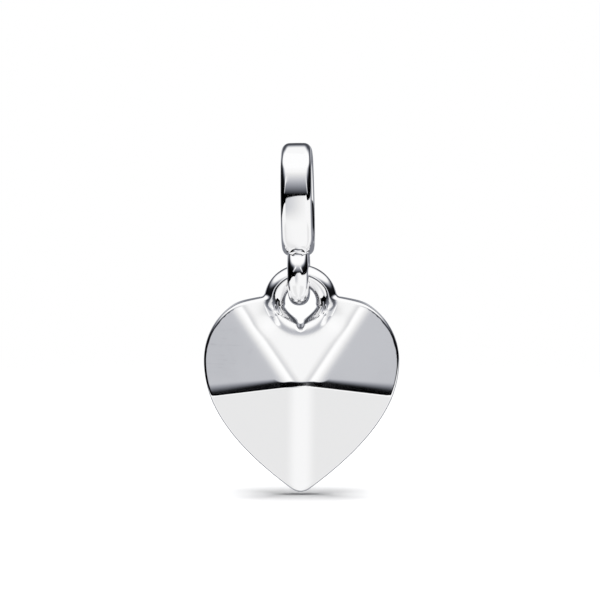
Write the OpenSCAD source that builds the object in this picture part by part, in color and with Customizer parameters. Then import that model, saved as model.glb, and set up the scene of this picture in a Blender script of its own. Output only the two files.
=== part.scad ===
// Dangle charm: a faceted heart drop that hangs by its eye from a bail of two loops.
// Millimetres, +Z up. The face that shows looks towards -Y. The origin is the seat at the top
// of the upper loop's opening, where the link that carries the charm lies.

/* [Upper loop] */
// Height of the upper loop, over its outside
loop_h = 5.3; // [4.8:0.1:7]
// Depth of the upper loop from front to back, over its outside
loop_d = 3.5; // [3.3:0.1:4.5]
// Outside radius of the loop's rounded top and foot
loop_end_r = 1.5; // [1.35:0.05:1.6]
// Width of the loop's band
band_w = 1.45; // [1.3:0.05:1.7]
// Thickness of the loop's band
band_t = 0.75; // [0.6:0.05:0.9]
// Radius of the band's domed outer face, across its width
band_dome_r = 0.95; // [0.9:0.05:1.6]
// Radius of the band's gently domed inner face, across its width
band_inner_r = 2.4; // [1.6:0.2:4]

/* [Small ring] */
// Outside radius of the small ring under the upper loop
ring_r = 1.48; // [1.4:0.02:1.8]
// Thickness of the small ring's wire, measured from its outside to its hole
ring_t = 0.82; // [0.7:0.02:0.86]
// Width of the small ring's wire
ring_w = 0.98; // [0.9:0.02:1]
// Radius of the small ring's domed faces, across its wire
ring_dome_r = 0.6; // [0.56:0.01:0.64]
// Metal left between the small ring's top and the upper loop's opening
ring_cover = 0.05; // [0.02:0.01:0.2]

/* [Eye of the heart] */
// Diameter of the eye's round wire
eye_wire_d = 0.98; // [0.8:0.02:1.04]
// Radius of the eye, to the middle of its wire
eye_r = 1.2; // [1.18:0.02:1.5]
// Play between the eye's wire and the small ring that it hangs on
link_play = 0.08; // [0.06:0.01:0.14]

/* [Heart] */
// Width of the heart
heart_w = 9; // [8.4:0.1:11]
// Radius of the two lobes
lobe_r = 3.03; // [2.8:0.05:3.4]
// Height from the middle of the lobes up to the middle of the eye
lobe_drop = 2.74; // [2.6:0.05:3.1]
// Height from the heart's point up to the middle of the eye
point_drop = 8.88; // [8.6:0.1:10.5]
// Radius of the long curves from the lobes to the point
flank_r = 8.05; // [7.6:0.1:9.5]

/* [Facets] */
// Thickness of the heart at its crown, where the facets meet
crown_t = 3.6; // [3:0.1:4.4]
// Height from the crown up to the middle of the eye
crown_drop = 3.74; // [3.3:0.02:4.2]
// Width of the short level edge at the crown, and of the flat keel below it
crown_w = 0.84; // [0.4:0.04:1.2]
// Thickness of the rim at the brow, over the lobes
brow_t = 0.5; // [0.4:0.05:0.8]
// Thickness of the rim at the widest place
rim_t = 0.6; // [0.5:0.05:0.9]
// Thickness of the rim at the point
point_t = 0.72; // [0.5:0.04:0.9]
// Direction of the two upper ridges, from straight up
upper_ridge = 35.5; // [32:0.5:42]
// Direction of the two side ridges, from level and down
side_ridge = 10; // [4:1:12]

/* [Cleft] */
// Half of the angle between the cleft's two walls
cleft_angle = 41; // [36:1:46]
// Width of the small notch at the foot of the cleft
notch_w = 0.28; // [0.2:0.02:0.36]

/* [How it hangs] */
// Lean of the bail to one side
bail_lean = 1; // [0:0.5:2]
// Turn of the bail about the upright
bail_turn = -2.5; // [-3:0.5:3]
// How far the eye has slid along the small ring
eye_slide = 0.08; // [0:0.01:0.08]

/* [Hidden] */
$fn = 96;
far = 30;                                   // longer than anything here
hole_step = 0.03;                           // the eye's wire stands this far proud of the heart's hole

// The upper loop is an oval of four arcs: two ends and two long sides
end_lift = loop_h / 2 - loop_end_r;         // height of an end's centre from the oval's middle
side_r = (end_lift ^ 2 + (loop_d / 2) ^ 2 - loop_end_r ^ 2) / (loop_d - 2 * loop_end_r);
side_shift = side_r - loop_d / 2;           // how far a side's centre lies past the middle
side_angle = atan2(end_lift, side_shift);   // half the angle that a side turns through
loop_z = band_t - loop_h / 2;               // middle of the oval

// The small ring, sunk into the loop's foot, and the height of the eye's wire inside it
ring_z = 2 * band_t - loop_h - ring_cover - ring_r;
wire_z = ring_z * cos(bail_lean) - ring_r + ring_t + link_play + eye_wire_d / 2;

// The eye's middle, under the bail's own place
hang_x = eye_slide - ring_z * sin(bail_lean);
hang_z = wire_z - eye_r;

// Outline: each flank's centre keeps its arc tangent to the lobe and through the point
lobe_x = heart_w / 2 - lobe_r;
flank_reach = flank_r - lobe_r;
lobe_to_point = [-lobe_x, lobe_drop - point_drop];
span = norm(lobe_to_point);
along = (flank_reach ^ 2 - flank_r ^ 2 + span ^ 2) / (2 * span);
aside = sqrt(flank_reach ^ 2 - along ^ 2);
toward = lobe_to_point / span;
flank_c = [lobe_x, -lobe_drop] + along * toward + aside * [toward[1], -toward[0]];
meet = ([lobe_x, -lobe_drop] - flank_c) / flank_reach;            // towards where lobe meets flank

// Facets: how much thickness each loses for a step sideways and for a step upwards
brow_z = lobe_r - lobe_drop;
top_fall = (crown_t - brow_t) / 2 / (brow_z + crown_drop);
widest_up = crown_drop - lobe_drop;
side_reach = (heart_w - crown_w) / 2 - tan(upper_ridge) * widest_up;
side_out = ((crown_t - rim_t) / 2 - top_fall * widest_up) / side_reach;
side_up = top_fall - side_out * tan(upper_ridge);
low_down = (crown_t - point_t) / 2 / (point_drop - crown_drop);
low_out = side_out - (side_up + low_down) * tan(side_ridge);

// Cleft: its walls pass just inside the rim of the eye's hole
eye_hole_r = eye_r - eye_wire_d / 2;
cleft_foot = eye_hole_r - hole_step / 2;
cleft_z = -cleft_foot / sin(cleft_angle);
notch_z = cleft_z + notch_w / 6;            // the notch's round end reaches just below the cleft

// A strip of metal cut across, its inner face on the Y axis, with a dome on each face
module domed_strip(thick, wide, outer_dome_r, inner_dome_r) {
    intersection() {
        translate([0, -wide / 2]) square([thick, wide]);
        translate([thick - outer_dome_r, 0]) circle(outer_dome_r);
        translate([inner_dome_r, 0]) circle(inner_dome_r);
    }
}

// One arc of the band, round an axis along X, with its middle towards the given angle from +Y
module band_arc(radius, middle, half) {
    rotate([middle, 0, 0]) rotate([0, 90, 0]) rotate([0, 0, 90 - half])
        rotate_extrude(angle = 2 * half) translate([radius - band_t, 0])
            domed_strip(band_t, band_w, band_dome_r, band_inner_r);
}

module upper_loop() {
    translate([0, 0, loop_z]) {
        for (end = [-1, 1]) {
            translate([0, 0, end * end_lift]) band_arc(loop_end_r, end * 90, 90 - side_angle);
            translate([0, -end * side_shift, 0]) band_arc(side_r, 90 - end * 90, side_angle);
        }
    }
}

module small_ring() {
    translate([0, 0, ring_z]) rotate([0, 90, 0]) rotate_extrude() translate([ring_r - ring_t, 0])
        domed_strip(ring_t, ring_w, ring_dome_r, ring_dome_r);
}

module bail() {
    color("silver") rotate([0, -bail_lean, bail_turn]) union() {
        upper_loop();
        small_ring();
    }
}

// The heart's outline, with the middle of the eye at the origin
module outline() {
    for (side = [0, 1]) mirror([side, 0]) translate([lobe_x, -lobe_drop]) circle(lobe_r);
    intersection() {
        translate(flank_c) circle(flank_r);
        mirror([1, 0]) translate(flank_c) circle(flank_r);
        polygon([
            [-lobe_x, -lobe_drop],
            [lobe_x, -lobe_drop],
            [lobe_x + far * meet[0], -lobe_drop + far * meet[1]],
            [0, -far],
            [-lobe_x - far * meet[0], -lobe_drop + far * meet[1]]
        ]);
    }
}

// Everything behind one facet, which falls by the given amounts sideways and upwards
module behind_facet(out, up) {
    turn = atan(out);
    translate([crown_w / 2, -crown_t / 2, -crown_drop]) rotate([-atan(up * cos(turn)), 0, turn])
        translate([-far, 0, -far]) cube(2 * far);
}

module half_facets() {
    intersection() {
        behind_facet(0, top_fall);
        behind_facet(0, -low_down);
        intersection_for (side = [0, 1]) mirror([side, 0, 0]) behind_facet(side_out, side_up);
        intersection_for (side = [0, 1]) mirror([side, 0, 0]) behind_facet(low_out, -low_down);
    }
}

module heart_body() {
    difference() {
        intersection() {
            rotate([90, 0, 0]) linear_extrude(crown_t, center = true) outline();
            intersection_for (face = [0, 1]) mirror([0, face, 0]) half_facets();
        }
        rotate([90, 0, 0]) cylinder(r = eye_hole_r + hole_step, h = far, center = true);
    }
}

module cleft() {
    rotate([90, 0, 0]) {
        linear_extrude(far, center = true) polygon([
            [0, cleft_z],
            [cleft_foot * cos(cleft_angle), -cleft_foot * sin(cleft_angle)],
            [-cleft_foot * cos(cleft_angle), -cleft_foot * sin(cleft_angle)]
        ]);
        translate([0, notch_z, 0]) cylinder(d = notch_w, h = far, center = true);
    }
}

module eye() {
    rotate([90, 0, 0]) rotate_extrude() translate([eye_r, 0]) circle(d = eye_wire_d);
}

module heart() {
    color("silver") translate([hang_x, 0, hang_z]) difference() {
        union() {
            heart_body();
            eye();
        }
        cleft();
    }
}

bail();
heart();
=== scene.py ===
import bpy
import numpy as np
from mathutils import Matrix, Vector


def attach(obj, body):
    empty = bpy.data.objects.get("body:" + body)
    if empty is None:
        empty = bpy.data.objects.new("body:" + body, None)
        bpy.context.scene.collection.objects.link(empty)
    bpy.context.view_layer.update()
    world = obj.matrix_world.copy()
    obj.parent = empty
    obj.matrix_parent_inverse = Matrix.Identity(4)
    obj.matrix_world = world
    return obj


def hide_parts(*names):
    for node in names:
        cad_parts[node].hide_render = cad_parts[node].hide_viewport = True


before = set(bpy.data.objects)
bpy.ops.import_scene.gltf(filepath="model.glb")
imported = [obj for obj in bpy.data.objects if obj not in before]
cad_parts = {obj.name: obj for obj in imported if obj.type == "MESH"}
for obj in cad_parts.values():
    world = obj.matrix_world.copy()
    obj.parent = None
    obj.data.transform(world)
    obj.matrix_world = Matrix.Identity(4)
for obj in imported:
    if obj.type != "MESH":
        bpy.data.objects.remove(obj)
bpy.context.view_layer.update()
print("frame loaded:", sorted(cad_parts))

mm = 0.001


camera = {
    "elevation": 8,               # degrees above the level of the charm
    "distance": 300,              # mm
    "frameWidth": 27.66,          # mm that the picture is wide, at the charm
    "aim": (0.1475, 0, -6.57),    # the point in the picture's middle, in mm
    "sensor": 36,
}


def makeCamera(c):
    # The lens is as long as makes the sensor see the frame's width at the camera's distance
    data = bpy.data.cameras.new("camera")
    data.sensor_width = c["sensor"]
    data.lens = c["sensor"] * c["distance"] / c["frameWidth"]
    data.clip_start = 0.01
    data.clip_end = 10
    seen = bpy.data.objects.new("camera", data)
    bpy.context.scene.collection.objects.link(seen)
    tilt = np.radians(c["elevation"])
    back = Vector((0, -np.cos(tilt), np.sin(tilt)))
    seen.location = (Vector(c["aim"]) + back * c["distance"]) * mm
    seen.rotation_euler = (-back).to_track_quat("-Z", "Y").to_euler()
    bpy.context.scene.camera = seen


# Sockets that can be added and multiplied, and a tree that makes the other nodes

class Wire:
    def __init__(self, tree, socket):
        self.tree = tree
        self.socket = socket

    def math(self, operation, first, second=None):
        values = {0: first} if second is None else {0: first, 1: second}
        return self.tree.node("ShaderNodeMath", {"operation": operation}, values)

    def __add__(self, other):
        return self.math("ADD", self, other)

    def __radd__(self, other):
        return self.math("ADD", other, self)

    def __sub__(self, other):
        return self.math("SUBTRACT", self, other)

    def __rsub__(self, other):
        return self.math("SUBTRACT", other, self)

    def __mul__(self, other):
        return self.math("MULTIPLY", self, other)

    def __rmul__(self, other):
        return self.math("MULTIPLY", other, self)

    def __truediv__(self, other):
        return self.math("DIVIDE", self, other)

    def __pow__(self, other):
        return self.math("POWER", self, other)

    def size(self):
        return self.math("ABSOLUTE", self)

    def above(self, other):
        return self.math("MAXIMUM", self, other)

    def below(self, other):
        return self.math("MINIMUM", self, other)

    def rise(self, low, high):
        # 0 below low, 1 above high, smooth between
        return self.tree.node(
            "ShaderNodeMapRange",
            {"interpolation_type": "SMOOTHSTEP"},
            {"Value": self, "From Min": low, "From Max": high, "To Min": 0, "To Max": 1},
        )

    def between(self, start, full, ebb, end):
        # 0 below start, 1 from full to ebb, 0 above end, smooth between
        return self.rise(start, full) * (1 - self.rise(ebb, end))

    def towards(self, other, share):
        return self + (other - self) * share

    def output(self, name):
        # another output of the same node
        return Wire(self.tree, self.socket.node.outputs[name])


class Tree:
    def __init__(self, owner):
        self.nodes = owner.node_tree.nodes
        self.links = owner.node_tree.links
        self.nodes.clear()

    def node(self, kind, settings=None, values=None, out=0):
        made = self.nodes.new(kind)
        for name, value in (settings or {}).items():
            setattr(made, name, value)
        for name, value in (values or {}).items():
            if isinstance(value, Wire):
                self.links.new(value.socket, made.inputs[name])
            else:
                made.inputs[name].default_value = value
        return Wire(self, made.outputs[out]) if len(made.outputs) else None

    def mixColours(self, share, first, second):
        # a Mix node's colours are its inputs 6 and 7 and its output 2
        return self.node("ShaderNodeMix", {"data_type": "RGBA"}, {0: share, 6: first, 7: second}, out=2)


# Formulas for solids: each field gives the distance outside a face, less than 0 within

def softMax(a, b, width):
    # the larger of two, rounded where they differ by less than width
    near = np.maximum(width - np.abs(a - b), 0) / width
    return np.maximum(a, b) + near ** 2 * width / 4


def softMin(a, b, width):
    return -softMax(-a, -b, width)


def softSize(a, width):
    # the size of a number, with a parabola in place of the corner at 0
    return np.abs(a) + np.maximum(width - 2 * np.abs(a), 0) ** 2 / (4 * width)


def roundMax(a, b, radius):
    # the larger of two, with a quarter circle of that radius where the two faces meet
    corner = np.hypot(np.maximum(a + radius, 0), np.maximum(b + radius, 0))
    return np.minimum(np.maximum(a, b), -radius) + corner


def hill(a, middle, width):
    # a bell curve: 1 in the middle, e times less at width from it
    return np.exp(-((a - middle) / width) ** 2)


def fadeIn(a, level, soft):
    # the logistic curve: 0 well below the level, 1 well above it
    return 1 / (1 + np.exp((level - a) / soft))


def findEdge(field, start, direction, far, s, steps=34):
    # distance along each ray from a point inside to the surface, by halving
    near = np.zeros(start[0].shape)
    far = near + far
    for _ in range(steps):
        middle = (near + far) / 2
        inside = field(*(a + middle * b for a, b in zip(start, direction)), s) < 0
        near = np.where(inside, middle, near)
        far = np.where(inside, far, middle)
    return (near + far) / 2


def evenOut(points, count, longest, turn, extra=0, window=9):
    # New points along each row, which share out a weight evenly: for each step of the old ones, its
    # length over longest, its bend over turn, and extra for each mm. The bend is taken as a running mean.
    step = np.diff(points, axis=1)
    length = np.linalg.norm(step, axis=2)
    way = step / np.maximum(length, 1e-9)[..., None]
    bend = np.zeros_like(length)
    bend[:, 1:] = np.linalg.norm(np.diff(way, axis=1), axis=2)
    padded = np.pad(bend, ((0, 0), (window // 2, window // 2)), mode="edge")
    bend = sum(padded[:, i:i + length.shape[1]] / window for i in range(window))
    weight = length * (1 / longest + extra) + bend / turn
    run = np.concatenate([np.zeros((len(points), 1)), np.cumsum(weight, axis=1)], axis=1)
    run /= run[:, -1:]
    offset = np.arange(len(points))[:, None] * 2.0        # sets the rows apart, for one interpolation
    wanted = (np.linspace(0, 1, count)[None, :] + offset).ravel()
    found = [np.interp(wanted, (run + offset).ravel(), points[..., k].ravel()) for k in range(3)]
    return np.stack(found, -1).reshape(len(points), count, 3)


heart = {
    # mm, from the middle of the eye; T is a thickness, from front to back
    "play": 0.08,                 # between the eye's wire and the small ring that it hangs on
    "slide": 0.08,                # how far the eye has slid to one side on the small ring
    # outline
    "halfWidth": 4.504,
    "lobeX": 1.474,
    "lobeZ": -2.738,
    "lobeR": 3.03,
    "flankFall": 0.1142,          # how fast the flanks close in on the point
    "pointRound": 0.48,
    "shoulderX": 2.812,           # a point of the flatter shoulder beside the eye
    "shoulderZ": -0.014,
    "shoulderSlope": 0.2,
    "shoulderBlend": 0.12,
    "drift": 0.045,               # shift of the body to one side at driftZ, less above and below it
    "driftZ": -3.2,
    "driftHeight": 3.2,
    "rimRound": 0.11,
    # facets
    "crownT": 3.6,
    "crownZ": -3.71,
    "crownFlat": 0.84,            # width of the short level edge at the crown
    "browT": 0.65,                # of the rim over the lobes
    "browZ": 0.29,
    "widestT": 0.75,              # of the rim at the widest place
    "widestZ": -2.74,
    "pointT": 0.72,
    "pointZ": -8.88,
    "upperRidge": 35.5,           # degrees from straight up
    "sideRidge": 9.4,             # degrees from level, down
    "ridgeBlend": 0.18,           # how softly the top facet joins the side ones
    "crownBlend": 0.015,          # how softly these join the lower ones
    "sideRound": 0.3,             # width of the parabola between the two side facets
    "keelRound": 2.2,             # and of the one between the two lower facets
    # narrow bevel above the crown's level edge and the side ridges
    "bevelSlope": 0.115,
    "bevelDepth": 0.01,
    "bevelMiddle": 0.038,         # how much deeper it is in the middle, over bevelMiddleWidth
    "bevelMiddleWidth": 0.35,
    "bevelBlend": 0.0025,         # how softly it joins the facets in the middle
    "bevelBlendGain": 0.0014,     # and how much more softly for each mm sideways
    # shallow hollow on each side of the eye
    "dishDepth": 0.028,
    "dishX": 1.55,
    "dishZ": -0.7,
    "dishWidth": 0.42,
    "dishHeight": 0.5,
    # eye
    "eyeR": 1.2,
    "wireR": 0.49,
    "deepZ": 0.15,                # the wire gets deeper from front to back below this height
    "deepSteep": 0.265,           # by this much for each mm down
    "deepBlend": 0.5,
    "lineDepth": 0.025,           # fine line in the wire
    "lineR": 1.12,
    "lineWidth": 0.06,
    "lineZ": -0.35,
    "lineHeight": 0.3,
    "clearAbove": 1.5,            # the facets end at this radius of the eye above clearZ
    "clearBelow": 0.92,           # and at this one below it
    "clearZ": -0.5,
    "clearFade": 0.12,
    "clearBlend": 0.1,
    "eyeBlend": 0.2,              # how softly the eye joins the body at its sides
    "eyeBlendLow": 0.12,          # and from eyeBlendDrop downwards
    "eyeBlendDrop": 0.6,
    # cleft
    "cleftAngle": 41,             # degrees, half of the angle between its walls
    "cleftRound": 0.16,
    "cleftTop": -0.25,            # it ends at this height, inside the eye's hole
    "cleftTopBlend": 0.1,
    "notchR": 0.14,
    "notchZ": -1.012,
    "notchBlend": 0.05,
    # mesh
    "rows": 560,                  # sections, shared out along the rim and the hole's wall:
    "rimStep": 0.05,              # one share for this many mm of the rim
    "wallStep": 0.03,             # and of the wall,
    "rimTurn": 0.12,              # one where the rim turns by this many radians,
    "keelShare": 300,             # and this many for each radian round the eye
    "keelSpread": 0.05,           # over this angle at the keel
    "around": 170,                # points of a section, shared out in the same way
    "longest": 0.16,
    "turnStep": 0.07,
    "bevelStep": 0.03,            # closer on the front near the bevel,
    "bevelLift": 0.25,            # which lies this far above the side ridges
    "bevelSpread": 0.35,
    "bevelFront": 0.5,            # and further to the front than this
    "bevelFade": 0.06,
    "footDrop": 0.25,             # under the notch the rays start this much farther from the eye's middle
    "wallGap": 0.1,               # a spine's distance from the wall under the notch, up to twice elsewhere
    "rimGap": 0.2,                # and from the rim
    "rayLength": 2.4,             # longer than from a spine to the surface; half of it ends in the hole
    "fineAngles": 4001,           # directions in which the rim and the hole's wall are measured first
    "fanRays": 121,               # at each end of a spine
    "frontRays": 701,             # along it
}


def outlineField(x, z, s):
    # Above the lobes' middles two circles; below them a width that is halfWidth less flankFall times
    # the square of the fall; and a straight sloping shoulder that cuts the circles beside the eye
    lobe = np.hypot(np.abs(x) - s["lobeX"], z - s["lobeZ"]) - s["lobeR"]
    fall = np.maximum(s["lobeZ"] - z, 0)
    width = s["halfWidth"] - s["flankFall"] * fall ** 2
    lean = np.sqrt(1 + (2 * s["flankFall"] * fall) ** 2)
    flanks = softMax((x - width) / lean, (-x - width) / lean, s["pointRound"])
    outline = np.where(z > s["lobeZ"], lobe, flanks)
    slope = s["shoulderSlope"]
    shoulder = ((z - s["shoulderZ"]) + slope * (np.abs(x) - s["shoulderX"])) / np.hypot(1, slope)
    return softMax(outline, shoulder, s["shoulderBlend"])


def facetFalls(s):
    # How much thickness the top, side and lower facets lose for a step sideways and a step upwards. All
    # pass through the ends of the crown's level edge. The top one reaches the brow; the side ones reach
    # the rim's widest place and meet the top one in the upper ridges; the lower ones reach the point and
    # meet the side ones in the side ridges.
    topUp = (s["crownT"] - s["browT"]) / 2 / (s["browZ"] - s["crownZ"])
    lift = s["widestZ"] - s["crownZ"]
    ridge = np.tan(np.radians(s["upperRidge"]))
    reach = s["halfWidth"] - s["crownFlat"] / 2 - ridge * lift
    sideOut = ((s["crownT"] - s["widestT"]) / 2 - topUp * lift) / reach
    sideUp = topUp - sideOut * ridge
    lowUp = (s["pointT"] - s["crownT"]) / 2 / (s["crownZ"] - s["pointZ"])
    lowOut = sideOut - (sideUp - lowUp) * np.tan(np.radians(s["sideRidge"]))
    return (0, topUp), (sideOut, sideUp), (lowOut, lowUp)


def facetField(out, depth, z, fall, s):
    # how far depth is past a plane that falls away from the end of the crown's level edge
    fallOut, fallUp = fall
    past = depth - s["crownT"] / 2 + fallOut * out + fallUp * (z - s["crownZ"])
    return past / np.sqrt(1 + fallOut ** 2 + fallUp ** 2)


def bodyField(x, depth, z, s):
    # Five facets and a bevel on each face, within the outline, and cut away round the eye
    drifted = x - s["drift"] * hill(z, s["driftZ"], s["driftHeight"])
    rounds = (2 * s["crownFlat"], s["sideRound"], s["keelRound"])
    out, sideOut, lowOut = (softSize(drifted, width) - s["crownFlat"] / 2 for width in rounds)
    topFall, sideFall, lowFall = facetFalls(s)
    top = facetField(out, depth, z, topFall, s)
    side = facetField(sideOut, depth, z, sideFall, s)
    upper = softMax(top, side, s["ridgeBlend"])
    slope = s["bevelSlope"]
    bevelOut = sideFall[0] + (slope - sideFall[1]) * np.tan(np.radians(s["sideRidge"]))
    bevel = facetField(out, depth, z, (bevelOut, slope), s) + s["bevelDepth"]
    bevel = bevel + s["bevelMiddle"] * hill(out, 0, s["bevelMiddleWidth"])
    upper = softMax(upper, bevel, s["bevelBlend"] + s["bevelBlendGain"] * out)
    dish = hill(np.abs(x), s["dishX"], s["dishWidth"]) * hill(z, s["dishZ"], s["dishHeight"])
    upper = upper + s["dishDepth"] * dish
    facets = softMax(upper, facetField(lowOut, depth, z, lowFall, s), s["crownBlend"])
    body = roundMax(facets, outlineField(drifted, z, s), s["rimRound"])
    gain = s["clearAbove"] - s["clearBelow"]
    clear = s["clearBelow"] + gain * fadeIn(z, s["clearZ"], s["clearFade"])
    return softMax(body, clear - np.hypot(x, z), s["clearBlend"])


def eyeField(x, y, z, s):
    # Round wire on a circle, deeper from front to back in its lower part, with a fine line in it
    radius = np.hypot(x, z)
    deeper = 1 + softMax(s["deepZ"] - z, 0 * z, s["deepBlend"]) * s["deepSteep"] / s["wireR"]
    wire = np.hypot(radius - s["eyeR"], y / deeper) - s["wireR"]
    line = hill(radius, s["lineR"], s["lineWidth"]) * hill(z, s["lineZ"], s["lineHeight"])
    return wire + s["lineDepth"] * line


def cleftField(x, z, s):
    # A wedge whose walls touch the circle of the eye's hole, with a small round notch at its foot
    angle = np.radians(s["cleftAngle"])
    foot = -(s["eyeR"] - s["wireR"]) / np.sin(angle)
    wedge = np.abs(x) * np.cos(angle) - (z - foot) * np.sin(angle)
    notch = np.hypot(x, np.minimum(z - s["notchZ"], 0)) - s["notchR"]
    cleft = softMin(wedge, notch, s["notchBlend"])
    return softMax(cleft, z - s["cleftTop"], s["cleftTopBlend"])


def heartField(x, y, z, s):
    # Body and eye joined, less the cleft
    lower = np.clip(-z / s["eyeBlendDrop"], 0, 1)
    blend = s["eyeBlend"] + (s["eyeBlendLow"] - s["eyeBlend"]) * lower
    joined = softMin(bodyField(x, np.abs(y), z, s), eyeField(x, y, z, s), blend)
    return roundMax(joined, -cleftField(x, z, s), s["cleftRound"])


def sectionEnds(theta, s):
    # Each section's direction from the eye's middle, and its distances to the hole's wall and to the rim.
    # Rays go both ways from a point in the metal, which is in the eye's wire or, below, under the notch.
    across = np.stack([np.cos(theta), np.sin(theta)])
    level = np.zeros_like(theta)
    base = s["eyeR"] + s["footDrop"] * np.clip(-across[1], 0, 1) ** 4
    start = (base * across[0], level, base * across[1])
    farthest = -s["pointZ"]       # past the rim in every direction
    outer = base + findEdge(heartField, start, (across[0], level, across[1]), farthest, s)
    inner = base - findEdge(heartField, start, (-across[0], level, -across[1]), base, s)
    return across, inner, outer


def sectionAngles(s, window=9):
    # The sections share out a weight evenly, which grows with the length of the hole's wall and of the
    # rim, with the rim's bend as a running mean, and near the keel
    angle = np.linspace(-1.5 * np.pi, 0.5 * np.pi, s["fineAngles"])
    across, inner, outer = sectionEnds(angle, s)
    wall = np.hypot(*np.diff(inner * across, axis=1))
    stepX, stepZ = np.diff(outer * across, axis=1)
    bend = np.abs(np.append(0, np.diff(np.unwrap(np.arctan2(stepZ, stepX)))))
    bend = np.convolve(bend, np.ones(window) / window, mode="same")
    keel = hill(angle[1:], -np.pi / 2, s["keelSpread"]) * np.diff(angle) * s["keelShare"]
    weight = np.hypot(stepX, stepZ) / s["rimStep"] + wall / s["wallStep"] + bend / s["rimTurn"] + keel
    run = np.append(0, np.cumsum(weight))
    return np.interp(np.arange(s["rows"]) / s["rows"] * run[-1], run, angle)


def rimNormal(x, z, s, step=0.002):
    # the direction in which the field grows fastest, from its differences over a small step
    level = np.zeros_like(x)
    growX = heartField(x + step, level, z, s) - heartField(x - step, level, z, s)
    growZ = heartField(x, level, z + step, s) - heartField(x, level, z - step, s)
    return np.stack([growX, growZ]) / np.hypot(growX, growZ)


def heartGrid(s):
    # Sections stand round the eye's middle like pages. Each has a straight spine in the metal, from near
    # the hole's wall to near the rim. Rays find the front surface from it: they fan out at its two ends,
    # from the wall's and the rim's direction to straight forwards. The back is the mirror image.
    across, inner, outer = sectionEnds(sectionAngles(s), s)
    rimOut = rimNormal(*(outer * across), s)
    wallGap = s["wallGap"] * (2 - np.clip(-across[1], 0, 1))
    first = (inner + wallGap) * across
    last = outer * across - s["rimGap"] * rimOut
    fan = np.linspace(0, np.pi / 2, s["fanRays"])
    share = np.linspace(0, 1, s["frontRays"])[1:-1]
    starts, ways = [], []
    for a, b, wayA, wayB in zip(first, last, -across, rimOut):
        a, b, wayA, wayB = (v[:, None] for v in (a, b, wayA, wayB))
        starts.append(np.concatenate([a + 0 * fan, a + (b - a) * share, b + 0 * fan], 1))
        ways.append(np.concatenate([wayA * np.cos(fan), 0 * (a + share), wayB * np.cos(fan[::-1])], 1))
    forwards = np.concatenate([np.sin(fan), 0 * share + 1, np.sin(fan[::-1])])
    start = (starts[0], 0 * starts[0], starts[1])
    way = (ways[0], 0 * starts[0] - forwards, ways[1])
    reach = findEdge(heartField, start, way, s["rayLength"], s)
    front = np.stack([a + reach * b for a, b in zip(start, way)], -1)
    front[:, [0, -1], 1] = 0      # the ends lie in the middle plane, where the two halves meet
    sideways = np.abs(front[..., 0]) - s["crownFlat"] / 2
    ridgeZ = s["crownZ"] - np.tan(np.radians(s["sideRidge"])) * sideways
    bevel = hill(front[..., 2] - ridgeZ, s["bevelLift"], s["bevelSpread"])
    bevel = bevel * fadeIn(-front[..., 1], s["bevelFront"], s["bevelFade"])
    half = evenOut(front, s["around"] // 2 + 1, s["longest"], s["turnStep"], bevel[:, 1:] / s["bevelStep"])
    back = half[:, -2:0:-1] * np.array([1, -1, 1])
    return np.concatenate([half, back], 1)


bail = {
    # mm, from the seat at the top of the upper loop's opening; T is a thickness, from inside to outside
    "lean": 1,                    # degrees to one side
    "turn": -2.5,                 # degrees about the upright
    # upper loop
    "middle": -1.9,               # height of its middle
    "height": 5.22,
    "depth": 3.5,
    "endR": 1.55,                 # of its rounded top and foot; the long sides follow from this
    "bandW": 1.43,
    "bandT": 0.75,
    "taper": 0.011,               # the band gets wider by this share for each mm down
    "faceR": 10,
    "cornerR": 0.26,              # of the band's edges in front and behind
    "cornerEndR": 0.36,           # and over its rounded ends
    "cornerFade": (0.45, 0.95),   # it changes where the face looks this much up or down, 1 being upright
    "innerR": 2.4,
    "innerCornerR": 0.16,
    # small ring
    "ringZ": -5.33,
    "ringR": 1.48,
    "ringT": 0.82,
    "ringW": 0.98,
    "ringFlat": 0.06,             # how much its outer side is flattened in front and behind
    "ringFlatAngle": 26,          # and over how many degrees from level
    "ringLow": 0.11,              # the wire's widest part lies this far inside its middle
    "ringPower": 2.35,            # of the wire's profile: 2 is round, more is squarer
    "ringPowerEnds": 2.2,         # the same at the ring's top and foot
    # mesh
    "rows": 320,
    "around": 120,
    "longest": 0.12,
    "turnStep": 0.12,
    "fineSteps": 6001,            # along the oval
    "fineAngles": 1501,           # round a profile
}


def profiles(field, form, s):
    # The closed outline of a flat shape round the origin, one for each value of form, which goes along
    # as a third coordinate that doesn't change. None reaches farther than the band's width.
    angle = np.linspace(0, 2 * np.pi, s["fineAngles"])
    zero = 0 * form[:, None] * angle
    across, out = zero + np.cos(angle), zero + np.sin(angle)
    far = findEdge(field, (zero, zero, zero + form[:, None]), (across, out, zero), s["bandW"], s)
    fine = np.stack([far * across, far * out, zero], -1)
    shape = evenOut(fine, s["around"] + 1, s["longest"], s["turnStep"])[:, :-1]
    return shape[..., 0], shape[..., 1]


def bandField(q, t, cornerR, s):
    # q across the band, t outwards from the middle of its thickness: two large circles and two edges
    half = s["bandT"] / 2
    outer = np.hypot(q, t - half + s["faceR"]) - s["faceR"]
    inner = np.hypot(q, t + half - s["innerR"]) - s["innerR"]
    edge = np.abs(q) - s["bandW"] / 2
    return np.maximum(roundMax(outer, edge, cornerR), roundMax(inner, edge, s["innerCornerR"]))


def ringField(q, t, power, s):
    # the share of the half width and the share of the half thickness, each to the power, add up to 1
    t = t + s["ringLow"]
    half = s["ringT"] / 2 + np.where(t > 0, s["ringLow"], -s["ringLow"])
    return (np.abs(q) / (s["ringW"] / 2)) ** power + (np.abs(t) / half) ** power - 1


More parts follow.
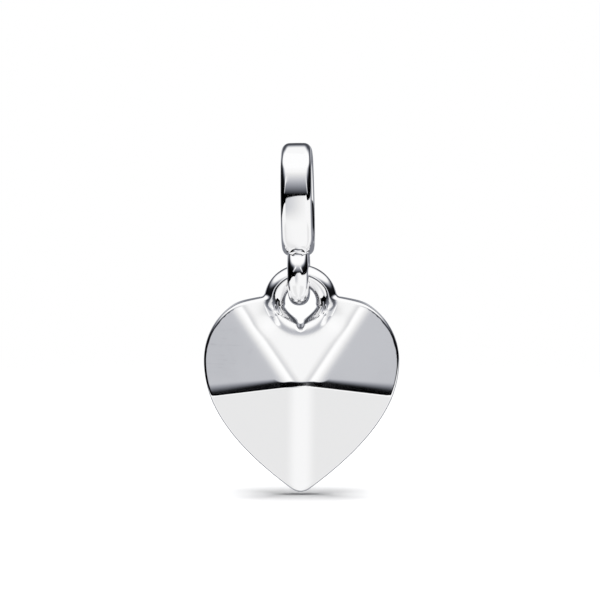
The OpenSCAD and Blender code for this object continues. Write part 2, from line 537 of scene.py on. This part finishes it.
def loopGrid(s):
    # The band's profile carried round an oval of four arcs: two ends, and two long sides tangent to them.
    # The rows look in the directions psi, from straight up, and are equally far apart along the oval.
    endLift = s["height"] / 2 - s["endR"]
    sideR = (endLift ** 2 + (s["depth"] / 2) ** 2 - s["endR"] ** 2) / (s["depth"] - 2 * s["endR"])
    shift = sideR - s["depth"] / 2
    sideAngle = np.degrees(np.arctan2(endLift, shift))
    even = np.linspace(0, 1, s["fineSteps"])[:-1] * 360
    run = np.append(0, np.cumsum(np.where(np.abs(even % 180 - 90) < sideAngle, sideR, s["endR"])))
    psi = np.interp(np.arange(s["rows"]) / s["rows"] * run[-1], run, np.append(even, 360))
    side = np.abs(psi % 180 - 90) < sideAngle
    outY, outZ = -np.sin(np.radians(psi)), np.cos(np.radians(psi))
    centreY = np.where(side, -np.sign(outY) * shift, 0)
    centreZ = np.where(side, 0, np.sign(outZ) * endLift)
    low, high = s["cornerFade"]
    end = np.clip((np.abs(outZ) - low) / (high - low), 0, 1)
    cornerR = s["cornerR"] + (s["cornerEndR"] - s["cornerR"]) * end ** 2 * (3 - 2 * end)
    q, t = profiles(bandField, cornerR, s)
    reach = np.where(side, sideR, s["endR"])[:, None] + t - s["bandT"] / 2
    y = centreY[:, None] + reach * outY[:, None]
    z = centreZ[:, None] + reach * outZ[:, None]
    return np.stack([q * (1 - s["taper"] * z), y, z + s["middle"]], -1)


def ringGrid(s):
    # The wire's profile carried round a circle, flattened a little on its outer side where it is level
    psi = np.arange(s["rows"]) / s["rows"] * 2 * np.pi
    power = s["ringPower"] + (s["ringPowerEnds"] - s["ringPower"]) * np.cos(psi) ** 2
    q, t = profiles(ringField, power, s)
    level = np.degrees(np.arcsin(np.cos(psi)))[:, None]
    flatten = s["ringFlat"] * hill(level, 0, s["ringFlatAngle"]) * (t + s["ringT"] / 2) / s["ringT"]
    reach = s["ringR"] - s["ringT"] / 2 + t - flatten
    y = -np.sin(psi)[:, None] * reach
    z = np.cos(psi)[:, None] * reach
    return np.stack([q, y, z + s["ringZ"]], -1)


def hangTurn(s):
    # leans about the depth axis, then turns about the upright
    a, b = np.radians(-s["lean"]), np.radians(s["turn"])
    lean = np.array([[np.cos(a), 0, np.sin(a)], [0, 1, 0], [-np.sin(a), 0, np.cos(a)]])
    turn = np.array([[np.cos(b), -np.sin(b), 0], [np.sin(b), np.cos(b), 0], [0, 0, 1]])
    return turn @ lean


def eyePlace(h, b):
    # The eye's wire lies over the foot of the small ring's hole, and the eye's middle its radius lower
    lean = np.radians(b["lean"])
    wireZ = b["ringZ"] * np.cos(lean) - b["ringR"] + b["ringT"] + h["play"] + h["wireR"]
    return np.array([h["slide"] - b["ringZ"] * np.sin(lean), 0, wireZ - h["eyeR"]])


def makePiece(name, grid, place=(0, 0, 0), turn=None):
    # A mesh from a grid of points, closed both ways: each face joins four neighbours, and all of them
    # are turned over if the volume comes out negative
    rows, cols = grid.shape[:2]
    points = grid.reshape(-1, 3)
    if turn is not None:
        points = points @ turn.T
    points = (points + np.array(place)) * mm
    i = np.arange(rows)[:, None]
    j = np.arange(cols)
    nextI, nextJ = (i + 1) % rows * cols, (j + 1) % cols
    i = i * cols
    faces = np.stack([i + j, nextI + j, nextI + nextJ, i + nextJ], -1).reshape(-1, 4)
    quad = points[faces]
    volume = np.einsum("ij,ij->i", quad[:, 0], np.cross(quad[:, 1], quad[:, 2])).sum()
    volume += np.einsum("ij,ij->i", quad[:, 0], np.cross(quad[:, 2], quad[:, 3])).sum()
    if volume < 0:
        faces = faces[:, ::-1]
    mesh = bpy.data.meshes.new(name)
    mesh.vertices.add(len(points))
    mesh.vertices.foreach_set("co", points.astype(np.float32).ravel())
    mesh.loops.add(faces.size)
    mesh.loops.foreach_set("vertex_index", faces.astype(np.int32).ravel())
    mesh.polygons.add(len(faces))
    mesh.polygons.foreach_set("loop_start", np.arange(len(faces), dtype=np.int32) * 4)
    mesh.update(calc_edges=True)
    mesh.polygons.foreach_set("use_smooth", np.ones(len(faces), bool))
    if mesh.validate():
        print("mesh mended:", name)
    piece = bpy.data.objects.new(name, mesh)
    bpy.context.scene.collection.objects.link(piece)
    print(name, "made,", 2 * len(faces), "triangles")
    return piece


def joinPieces(first, *others):
    # one object from several, under the first one's name
    bpy.ops.object.select_all(action="DESELECT")
    for piece in (first, *others):
        piece.select_set(True)
    bpy.context.view_layer.objects.active = first
    bpy.ops.object.join()
    return first


makeCamera(camera)
eyeMiddle = eyePlace(heart, bail)
heartPiece = makePiece("faceted_heart", heartGrid(heart), eyeMiddle)
bailPiece = joinPieces(
    makePiece("bail_loops", loopGrid(bail), turn=hangTurn(bail)),
    makePiece("small_ring", ringGrid(bail), turn=hangTurn(bail)),
)


silver = {
    "colour": (0.96, 0.96, 0.965, 1),
    "paintedShade": (0.8, 0.8, 0.815, 1),         # painted shade in the eye's hole and on the small ring where it passes through
    "recess": (0.55, 1.05),               # the painted shade fades out between these distances from the eye's middle, in mm
    "roughness": 0.045,
    "smudge": 0.025,                      # how much rougher the polish is in soft patches
    "smudgeNoise": {"Scale": 420, "Detail": 5, "Roughness": 0.6},
    "smudgeLevels": (0.35, 0.75),         # of the noise, from no smudge to a full one
    "hairline": 0.03,                     # how much rougher it is along the fine hairlines
    "hairlineNoise": {"Scale": 700, "Detail": 3, "Roughness": 0.7},
    "hairlineTurn": (0.3, 0.5, 0.4),      # radians
    "hairlineStretch": (1, 1, 24),
    "hairlineLevels": (0.6, 0.72),
    "hairlinePatches": (0.42, 0.6),       # of the smudges' noise: no hairlines where it is lower
    "lift": 0.00035,                      # height of the hairlines, in mm
    "liftShare": 0.25,                    # strength of the bump
}


def makeSilver(s, middle):
    # Roughness: a base, smudges from a soft noise, and hairlines from a stretched one that also lift the
    # surface. The colour has a painted shade near the eye's middle, which fades to the silver's own colour.
    material = bpy.data.materials.new("polished_silver")
    material.use_nodes = True
    tree = Tree(material)
    place = tree.node("ShaderNodeTexCoord", out="Object")
    smudge = tree.node("ShaderNodeTexNoise", None, {"Vector": place, **s["smudgeNoise"]})
    turned = tree.node(
        "ShaderNodeMapping",
        None,
        {"Vector": place, "Rotation": s["hairlineTurn"], "Scale": s["hairlineStretch"]},
    )
    lines = tree.node("ShaderNodeTexNoise", None, {"Vector": turned, **s["hairlineNoise"]})
    hairline = lines.rise(*s["hairlineLevels"]) * smudge.rise(*s["hairlinePatches"])
    rough = s["roughness"] + smudge.rise(*s["smudgeLevels"]) * s["smudge"] + hairline * s["hairline"]
    centre = tuple(v * mm for v in middle)
    away = tree.node("ShaderNodeVectorMath", {"operation": "DISTANCE"}, {0: place, 1: centre}, "Value")
    near, far = (v * mm for v in s["recess"])
    # painted shade: darker in the eye's hole and on the small ring inside it, lighter farther from the
    # eye's middle
    shadedColour = tree.mixColours(away.rise(near, far), s["paintedShade"], s["colour"])
    bump = tree.node(
        "ShaderNodeBump",
        None,
        {"Strength": s["liftShare"], "Distance": s["lift"] * mm, "Height": hairline},
    )
    shader = tree.node(
        "ShaderNodeBsdfPrincipled",
        None,
        {"Base Color": shadedColour, "Metallic": 1, "Roughness": rough, "Normal": bump},
    )
    tree.node("ShaderNodeOutputMaterial", None, {"Surface": shader})
    return material


silverMaterial = makeSilver(silver, eyeMiddle)
for piece, body, node in ((heartPiece, "heart", "heart"), (bailPiece, "bail", "bail")):
    piece.data.materials.clear()
    piece.data.materials.append(silverMaterial)
    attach(piece, body)
    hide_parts(node)
print("silver on", heartPiece.name, "and", bailPiece.name)


studio = {
    "floorZ": -15.64,                     # mm
    "floorR": 60,
    "floorRings": 40,                     # of points, and how many points in each
    "floorAround": 96,
    "floorFade": (14, 45),                # it turns clear between these distances from the middle, in mm
    "floorColour": (0.86, 0.86, 0.86, 1),
    "lampPower": 1.5,                     # watts
    "lampSize": 340,
    "lampHeight": 250,                    # over the floor
}


def makeFloor(s):
    # Rings of points round the middle, which is closed by one point
    radius = np.linspace(0, s["floorR"], s["floorRings"] + 1)[1:, None]
    around = s["floorAround"]
    angle = np.arange(around) / around * 2 * np.pi
    rings = np.stack([radius * np.cos(angle), radius * np.sin(angle), 0 * radius * angle + s["floorZ"]], -1)
    points = np.append(rings.reshape(-1, 3), [[0, 0, s["floorZ"]]], 0) * mm
    i = np.arange(s["floorRings"] - 1)[:, None] * around
    j = np.arange(around)
    k = (j + 1) % around
    quads = np.stack([i + j, i + around + j, i + around + k, i + k], -1).reshape(-1, 4)
    middle = np.stack([0 * j + len(points) - 1, j, k], -1)
    mesh = bpy.data.meshes.new("floor")
    mesh.from_pydata(points.tolist(), [], quads.tolist() + middle.tolist())
    floor = bpy.data.objects.new("floor", mesh)
    bpy.context.scene.collection.objects.link(floor)
    material = bpy.data.materials.new("pale_floor")
    material.use_nodes = True
    tree = Tree(material)
    place = tree.node("ShaderNodeTexCoord", out="Object")
    away = tree.node("ShaderNodeVectorMath", {"operation": "LENGTH"}, {0: place}, "Value")
    paper = tree.node("ShaderNodeBsdfDiffuse", None, {"Color": s["floorColour"]})
    clear = tree.node("ShaderNodeBsdfTransparent")
    low, high = (v * mm for v in s["floorFade"])
    mixed = tree.node("ShaderNodeMixShader", None, {0: away.rise(low, high), 1: paper, 2: clear})
    tree.node("ShaderNodeOutputMaterial", None, {"Surface": mixed})
    mesh.materials.append(material)
    floor.visible_glossy = False


sky = {
    # Directions in degrees: up from the level, and about from the camera's side. Light: 1 is white. A
    # step is a low end, a high end and how much is added between them; a span is a start, the place
    # where it is full, the place where it ebbs and its end.
    "frontFoot": 4.5,                     # on the camera's side the light grows from this height
    "frontRise": 28,                      # over this many degrees, with this power, up to the most
    "frontPower": 1.15,
    "frontMost": 0.95,
    "frontTop": ((29, 40, 0.08),),
    "backLight": 0.5,                     # behind the charm
    "backSteps": ((3, 10, -0.42), (30, 58, 0.9)),
    "backFrom": (120, 150),               # it takes over between these directions
    "flagSpan": (20, 44, 130, 145),       # a dark panel on each side
    "flagTop": (15, 34),                  # heights between which it ends
    "flagDark": 0.97,                     # share of the light that it takes
    "stripUp": 30.8,                      # a strip of light slants down on each side from this height
    "stripSlant": 0.69,                   # by this much for each degree sideways
    "stripEdge": (2.5, 5.5),
    "stripSpan": (9, 15, 41, 46),
    "stripLight": 1.05,                   # at its upper end
    "stripDim": (16, 35, -0.47),          # and how it dims sideways
    "stripFoot": 3.7,                     # it fades out downwards to this height
    "stripRise": 2.1,
    "stripPower": 1.3,
    "edgeUp": 2.9,                        # height of the edge between the light below and the dark above
    "edgeRight": ((0, 6, 0.8), (10, 30, -6)),
    "edgeLeft": ((2, 24, -9), (30, 95, -8)),
    "edgeSoft": 0.3,
    "underLight": 0.97,                   # below the edge
    "shadeSpan": (-27, -14, -12, 3),      # a shade there, on the left
    "shadeTop": (-34, -8, 0.34),
    "footSpan": (5, 22, 50, 70),          # a faint one on each side, low down
    "footTop": (-33, -26),
    "footDark": 0.13,
    "underBack": (85, 125, 0.75),         # and a strong one behind
    "onFloor": 0.08,                      # share of this light that falls on what isn't shiny
    "greyTint": (0.88, 0.93, 1.1, 1),     # colour of the darker parts
    "tintGain": 1.2,                      # the tint is gone where the light times this is 1
    "white": (1, 1, 1, 1),
}


def stepped(light, along, *steps):
    # light, and for each step a smooth rise to its amount between its two ends
    for low, high, amount in steps:
        light = light + along.rise(low, high) * amount
    return light


def skyLight(up, about, s):
    # Above an edge that bends with the direction: a rising light in front, towards one of its own behind,
    # less a dark panel, and a slanting strip. Below it: a bright light less three shades.
    side = about.size()
    front = (((up - s["frontFoot"]) / s["frontRise"]).above(0) ** s["frontPower"]).below(s["frontMost"])
    behind = stepped(s["backLight"], up, *s["backSteps"])
    above = stepped(front, up, *s["frontTop"]).towards(behind, side.rise(*s["backFrom"]))
    flag = side.between(*s["flagSpan"]) * (1 - up.rise(*s["flagTop"]))
    above = above * (1 - flag * s["flagDark"])
    off = (up - s["stripUp"] + side * s["stripSlant"]).size()
    strip = side.between(*s["stripSpan"]) * (1 - off.rise(*s["stripEdge"]))
    foot = (((up - s["stripFoot"]) / s["stripRise"]).above(0) ** s["stripPower"]).below(1)
    above = above.towards(stepped(s["stripLight"], side, s["stripDim"]) * foot, strip)
    edge = stepped(stepped(s["edgeUp"], about, *s["edgeRight"]), about * -1, *s["edgeLeft"])
    low, high, dark = s["shadeTop"]
    under = s["underLight"] - about.between(*s["shadeSpan"]) * up.rise(low, high) * dark
    under = under - side.between(*s["footSpan"]) * (1 - up.rise(*s["footTop"])) * s["footDark"]
    low, high, dark = s["underBack"]
    under = under * (1 - side.rise(low, high) * dark)
    return under.towards(above, (up - edge).rise(-s["edgeSoft"], s["edgeSoft"]))


def makeSky(s):
    # The camera sees plain white, and floor and other dull things get only a share of the light
    world = bpy.data.worlds.new("studio")
    bpy.context.scene.world = world
    world.use_nodes = True
    tree = Tree(world)
    split = tree.node("ShaderNodeSeparateXYZ", None, {0: tree.node("ShaderNodeTexCoord")})
    x, y, z = (split.output(name) for name in "XYZ")      # of the direction
    toDegrees = 57.2958
    light = skyLight(x.math("ARCSINE", z) * toDegrees, x.math("ARCTAN2", x, y * -1) * toDegrees, s)
    ray = tree.node("ShaderNodeLightPath", out="Is Camera Ray")
    shown = light * (1 - ray.output("Is Diffuse Ray") * (1 - s["onFloor"]))
    shown = shown.towards(1.0, ray)
    tint = tree.mixColours((shown * s["tintGain"]).below(1), s["greyTint"], s["white"])
    back = tree.node("ShaderNodeBackground", None, {"Strength": shown, "Color": tint})
    tree.node("ShaderNodeOutputWorld", None, {"Surface": back})


def makeLamp(s):
    # a large round lamp straight above, which isn't reflected
    data = bpy.data.lights.new("overhead", "AREA")
    data.shape = "DISK"
    data.size = s["lampSize"] * mm
    data.energy = s["lampPower"]
    lamp = bpy.data.objects.new("overhead", data)
    lamp.visible_glossy = False
    lamp.location = (0, 0, (s["floorZ"] + s["lampHeight"]) * mm)
    bpy.context.scene.collection.objects.link(lamp)


makeFloor(studio)
makeSky(sky)
makeLamp(studio)
bpy.context.scene.view_settings.view_transform = "Standard"
print("studio made")
